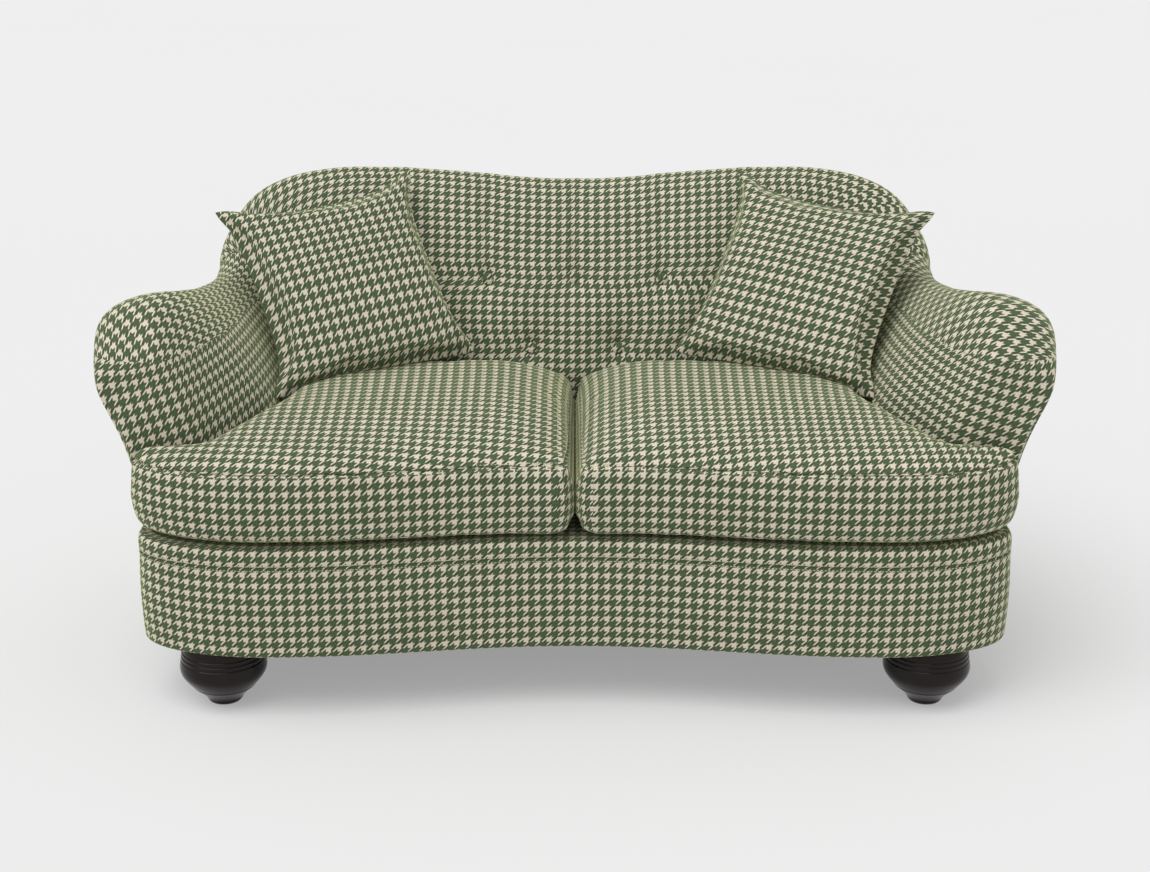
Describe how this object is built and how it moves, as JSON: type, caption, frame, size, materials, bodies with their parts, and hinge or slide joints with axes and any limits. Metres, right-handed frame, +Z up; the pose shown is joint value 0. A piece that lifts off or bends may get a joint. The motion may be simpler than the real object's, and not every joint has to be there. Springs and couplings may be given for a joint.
{
  "type": "high back settee",
  "caption": "High back settee with flared rolled arms, loose T-shaped seat cushions, a tufted back, scatter cushions and turned feet.",
  "frame": {"origin": "on the floor below the middle of the settee's box", "axes": "+X to the settee's left arm side as seen from the back, right in the front view; -Y to the front; +Z up"},
  "size_m": [1.7654, 0.8928, 0.8665],
  "materials": {
    "cover_cloth": "cream and green houndstooth weave, matt",
    "seat_cushion_cloth": "cream and green houndstooth weave, matt",
    "scatter_cushion_cloth": "cream and green houndstooth weave, matt",
    "foot_wood": "dark stain, gloss lacquer",
    "frame_wood": "sawn beech, bare",
    "rib_plywood": "plywood, bare",
    "bolt_steel": "zinc plated",
    "webbing": "woven elastic webbing",
    "black_cloth": "thin non-woven dust cloth"
  },
  "bodies": {
    "settee": {"front_border": "cover_cloth", "back_border": "cover_cloth", "right_side_border": "cover_cloth", "left_side_border": "cover_cloth", "right_arm": "cover_cloth", "left_arm": "cover_cloth", "inside_back": "cover_cloth", "right_outside_arm": "cover_cloth", "left_outside_arm": "cover_cloth", "outside_back": "cover_cloth", "seat_platform": "cover_cloth", "tuft_button_1": "cover_cloth", "tuft_button_2": "cover_cloth", "tuft_button_3": "cover_cloth", "tuft_button_4": "cover_cloth", "tuft_button_5": "cover_cloth", "tuft_button_6": "cover_cloth", "tuft_button_7": "cover_cloth", "tuft_button_8": "cover_cloth", "tuft_button_9": "cover_cloth", "front_left_foot": "foot_wood", "front_left_foot_bolt": "bolt_steel", "front_left_corner_block": "frame_wood", "front_right_foot": "foot_wood", "front_right_foot_bolt": "bolt_steel", "front_right_corner_block": "frame_wood", "rear_left_foot": "foot_wood", "rear_left_foot_bolt": "bolt_steel", "rear_left_corner_block": "frame_wood", "rear_right_foot": "foot_wood", "rear_right_foot_bolt": "bolt_steel", "rear_right_corner_block": "frame_wood", "front_rail": "frame_wood", "back_rail": "frame_wood", "right_side_rail": "frame_wood", "left_side_rail": "frame_wood", "left_cross_rail": "frame_wood", "right_cross_rail": "frame_wood", "right_arm_top_rail": "frame_wood", "left_arm_top_rail": "frame_wood", "back_top_rail": "frame_wood", "right_arm_tack_rail": "frame_wood", "left_arm_tack_rail": "frame_wood", "back_tack_rail": "frame_wood", "right_arm_rib_1": "rib_plywood", "right_arm_rib_2": "rib_plywood", "left_arm_rib_1": "rib_plywood", "left_arm_rib_2": "rib_plywood", "back_rib_1": "rib_plywood", "back_rib_2": "rib_plywood", "back_rib_3": "rib_plywood", "seat_webbing": "webbing", "dust_cover": "black_cloth"},
    "right_seat_cushion": {"right_seat_cushion": "seat_cushion_cloth"},
    "left_seat_cushion": {"left_seat_cushion": "seat_cushion_cloth"},
    "right_scatter_cushion": {"right_scatter_cushion": "scatter_cushion_cloth"},
    "left_scatter_cushion": {"left_scatter_cushion": "scatter_cushion_cloth"}
  },
  "joints": [
    {"name": "left_seat_cushion_slide", "type": "slide", "parent": "settee", "child": "left_seat_cushion", "axis": [0, -1, 0], "range_m": [0, 0.45]},
    {"name": "right_seat_cushion_slide", "type": "slide", "parent": "settee", "child": "right_seat_cushion", "axis": [0, -1, 0], "range_m": [0, 0.45]},
    {"name": "left_scatter_cushion_slide", "type": "slide", "parent": "settee", "child": "left_scatter_cushion", "axis": [0.3241, -0.7068, 0.6288], "range_m": [0, 0.3]},
    {"name": "right_scatter_cushion_slide", "type": "slide", "parent": "settee", "child": "right_scatter_cushion", "axis": [-0.3241, -0.7068, 0.6288], "range_m": [0, 0.3]}
  ]
}
